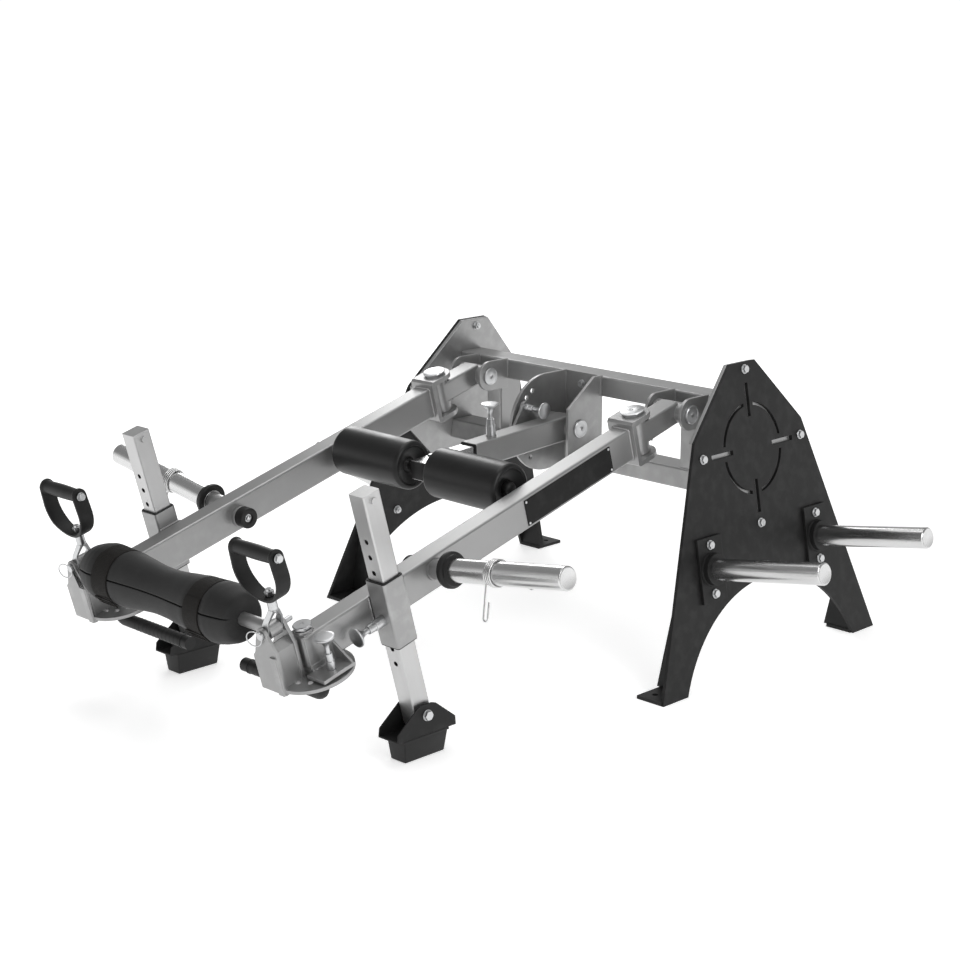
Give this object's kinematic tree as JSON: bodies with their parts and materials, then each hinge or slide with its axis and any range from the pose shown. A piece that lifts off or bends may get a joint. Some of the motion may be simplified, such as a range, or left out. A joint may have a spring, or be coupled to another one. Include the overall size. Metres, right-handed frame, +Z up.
{
  "type": "deadlift machine",
  "caption": "Plate-loaded lifting machine: splayed rear frame, hinged arms with weight horns, adjustable legs, padded hip bar, D-handles and a roller arm.",
  "frame": {"origin": "midway between the four floor anchor holes, on the floor", "axes": "+X to the machine's right seen from the back, +Y to the rear frame's back, +Z up; the arms point to -Y"},
  "size_m": [1.666, 1.7571, 0.7],
  "materials": {
    "black_steel": "satin black powder coat",
    "silver_steel": "satin silver powder coat",
    "zinc": "bright zinc plate",
    "chrome": "polished chrome plate",
    "rubber": "matt black rubber",
    "foam": "soft black foam skin",
    "roller_foam": "smooth black vinyl over foam",
    "webbing": "black webbing",
    "black_sheet": "matt black, blank"
  },
  "bodies": {
    "frame": {"side_plates": "black_steel", "backing_plates": "silver_steel", "cross_frame": "silver_steel", "lift_pins": "zinc", "centre_bracket": "silver_steel", "frame_bolts": "zinc", "horn_mounts": "black_steel", "storage_horns": "chrome", "roller_axle_pin": "zinc"},
    "link_right": {"stub_link_right": "silver_steel"},
    "arm_right": {"arm_right": "silver_steel", "hinge_pin_right": "zinc", "arm_panel_right": "black_sheet", "horn_right": "chrome", "horn_collar_right": "rubber", "bump_stop_right": "rubber", "head_pin_right": "zinc"},
    "clip_right": {"clip_right": "chrome"},
    "leg_right": {"leg_right": "chrome"},
    "leg_pin_right": {"leg_pin_right": "zinc"},
    "foot_right": {"foot_bracket_right": "black_steel", "foot_block_right": "rubber"},
    "index_pin_right": {"index_pin_right": "zinc"},
    "head_right": {"head_right": "silver_steel", "low_grip_right": "rubber", "hip_bar": "silver_steel"},
    "hitch_right": {"hitch_pin_right": "zinc"},
    "fork_right": {"fork_right": "zinc"},
    "dee_right": {"dee_strap_right": "black_steel", "dee_grip_right": "rubber"},
    "link_left": {"stub_link_left": "silver_steel"},
    "arm_left": {"arm_left": "silver_steel", "hinge_pin_left": "zinc", "arm_panel_left": "black_sheet", "horn_left": "chrome", "horn_collar_left": "rubber", "bump_stop_left": "rubber", "head_pin_left": "zinc"},
    "clip_left": {"clip_left": "chrome"},
    "leg_left": {"leg_left": "chrome"},
    "leg_pin_left": {"leg_pin_left": "zinc"},
    "foot_left": {"foot_bracket_left": "black_steel", "foot_block_left": "rubber"},
    "index_pin_left": {"index_pin_left": "zinc"},
    "head_left": {"head_left": "silver_steel", "low_grip_left": "rubber"},
    "hitch_left": {"hitch_pin_left": "zinc"},
    "fork_left": {"fork_left": "zinc"},
    "dee_left": {"dee_strap_left": "black_steel", "dee_grip_left": "rubber"},
    "pad": {"hip_pad": "foam", "pad_straps": "webbing"},
    "roller_arm": {"roller_tube": "silver_steel"},
    "roller_slide": {"roller_slide": "chrome"},
    "roller_pull": {"roller_pull": "zinc"},
    "length_pull": {"length_pull": "zinc"},
    "roller_right": {"roller_right": "roller_foam"},
    "roller_left": {"roller_left": "roller_foam"}
  },
  "joints": [
    {"name": "lift_right", "type": "hinge", "parent": "frame", "child": "link_right", "pos_m": [0.324, -0.102, 0.582], "axis": [-1, 0, 0], "range_deg": [0, 55]},
    {"name": "swing_right", "type": "hinge", "parent": "link_right", "child": "arm_right", "pos_m": [0.324, -0.22926, 0.54695], "axis": [0, -0.2656, 0.9641], "range_deg": [-3, 3]},
    {"name": "head_turn_right", "type": "hinge", "parent": "arm_right", "child": "head_right", "pos_m": [0.324, -1.21071, 0.27661], "axis": [0, -0.2656, 0.9641], "range_deg": [-3, 3]},
    {"name": "clip_slide_right", "type": "slide", "parent": "arm_right", "child": "clip_right", "axis": [0.9848, -0.0461, 0.1674], "range_m": [-0.095, 0.18]},
    {"name": "leg_slide_right", "type": "slide", "parent": "arm_right", "child": "leg_right", "axis": [0, -0.2656, 0.9641], "range_m": [0, 0.105]},
    {"name": "leg_pin_pull_right", "type": "slide", "parent": "arm_right", "child": "leg_pin_right", "axis": [0, -0.9641, -0.2656], "range_m": [0, 0.012], "stiffness_N_per_m": 900},
    {"name": "foot_tilt_right", "type": "hinge", "parent": "leg_right", "child": "foot_right", "pos_m": [0.3815, -0.97151, 0.09356], "axis": [1, 0, 0], "range_deg": [-20, 20]},
    {"name": "index_pull_right", "type": "slide", "parent": "arm_right", "child": "index_pin_right", "axis": [0, -0.2656, 0.9641], "range_m": [0, 0.012], "stiffness_N_per_m": 900},
    {"name": "hitch_pull_right", "type": "slide", "parent": "head_right", "child": "hitch_right", "axis": [0, -0.9641, -0.2656], "range_m": [0, 0.075]},
    {"name": "fork_lean_right", "type": "hinge", "parent": "head_right", "child": "fork_right", "pos_m": [0.303, -1.28249, 0.32633], "axis": [0, -0.9641, -0.2656], "range_deg": [-35, 25]},
    {"name": "dee_turn_right", "type": "hinge", "parent": "fork_right", "child": "dee_right", "pos_m": [0.326, -1.30241, 0.39864], "axis": [0, -0.2656, 0.9641], "range_deg": [-40, 40]},
    {"name": "lift_left", "type": "hinge", "parent": "frame", "child": "link_left", "pos_m": [-0.324, -0.102, 0.582], "axis": [-1, 0, 0], "range_deg": [0, 55]},
    {"name": "swing_left", "type": "hinge", "parent": "link_left", "child": "arm_left", "pos_m": [-0.324, -0.22926, 0.54695], "axis": [0, -0.2656, 0.9641], "range_deg": [-3, 3]},
    {"name": "head_turn_left", "type": "hinge", "parent": "arm_left", "child": "head_left", "pos_m": [-0.324, -1.21071, 0.27661], "axis": [0, -0.2656, 0.9641], "range_deg": [-3, 3]},
    {"name": "clip_slide_left", "type": "slide", "parent": "arm_left", "child": "clip_left", "axis": [-0.9848, -0.0461, 0.1674], "range_m": [-0.095, 0.18]},
    {"name": "leg_slide_left", "type": "slide", "parent": "arm_left", "child": "leg_left", "axis": [0, -0.2656, 0.9641], "range_m": [0, 0.105]},
    {"name": "leg_pin_pull_left", "type": "slide", "parent": "arm_left", "child": "leg_pin_left", "axis": [0, -0.9641, -0.2656], "range_m": [0, 0.012], "stiffness_N_per_m": 900},
    {"name": "foot_tilt_left", "type": "hinge", "parent": "leg_left", "child": "foot_left", "pos_m": [-0.3815, -0.97151, 0.09356], "axis": [1, 0, 0], "range_deg": [-20, 20]},
    {"name": "index_pull_left", "type": "slide", "parent": "arm_left", "child": "index_pin_left", "axis": [0, -0.2656, 0.9641], "range_m": [0, 0.012], "stiffness_N_per_m": 900},
    {"name": "hitch_pull_left", "type": "slide", "parent": "head_left", "child": "hitch_left", "axis": [0, -0.9641, -0.2656], "range_m": [0, 0.075]},
    {"name": "fork_lean_left", "type": "hinge", "parent": "head_left", "child": "fork_left", "pos_m": [-0.345, -1.28249, 0.32633], "axis": [0, -0.9641, -0.2656], "range_deg": [-5, 30]},
    {"name": "dee_turn_left", "type": "hinge", "parent": "fork_left", "child": "dee_left", "pos_m": [-0.322, -1.30241, 0.39864], "axis": [0, -0.2656, 0.9641], "range_deg": [-40, 40]},
    {"name": "pad_shift", "type": "slide", "parent": "head_right", "child": "pad", "axis": [1, 0, 0], "range_m": [-0.015, 0.045]},
    {"name": "roller_arm_tilt", "type": "hinge", "parent": "frame", "child": "roller_arm", "pos_m": [0, -0.118, 0.5], "axis": [-1, 0, 0], "range_deg": [-40, 55]},
    {"name": "roller_reach", "type": "slide", "parent": "roller_arm", "child": "roller_slide", "axis": [0, -0.9981, -0.061], "range_m": [-0.06, 0.06]},
    {"name": "roller_pin_pull", "type": "slide", "parent": "roller_arm", "child": "roller_pull", "axis": [1, 0, 0], "range_m": [0, 0.012], "stiffness_N_per_m": 900},
    {"name": "length_pin_pull", "type": "slide", "parent": "roller_arm", "child": "length_pull", "axis": [0, -0.061, 0.9981], "range_m": [0, 0.012], "stiffness_N_per_m": 900},
    {"name": "roller_spin_right", "type": "hinge", "parent": "roller_slide", "child": "roller_right", "pos_m": [0, -0.58014, 0.47174], "axis": [1, 0, 0], "continuous": true},
    {"name": "roller_spin_left", "type": "hinge", "parent": "roller_slide", "child": "roller_left", "pos_m": [0, -0.58014, 0.47174], "axis": [1, 0, 0], "continuous": true}
  ],
  "couplings": [
    {"joint": "lift_left", "follows": "lift_right", "ratio": 1},
    {"joint": "swing_left", "follows": "swing_right", "ratio": 1},
    {"joint": "head_turn_right", "follows": "swing_right", "ratio": -1},
    {"joint": "head_turn_left", "follows": "swing_right", "ratio": -1}
  ]
}
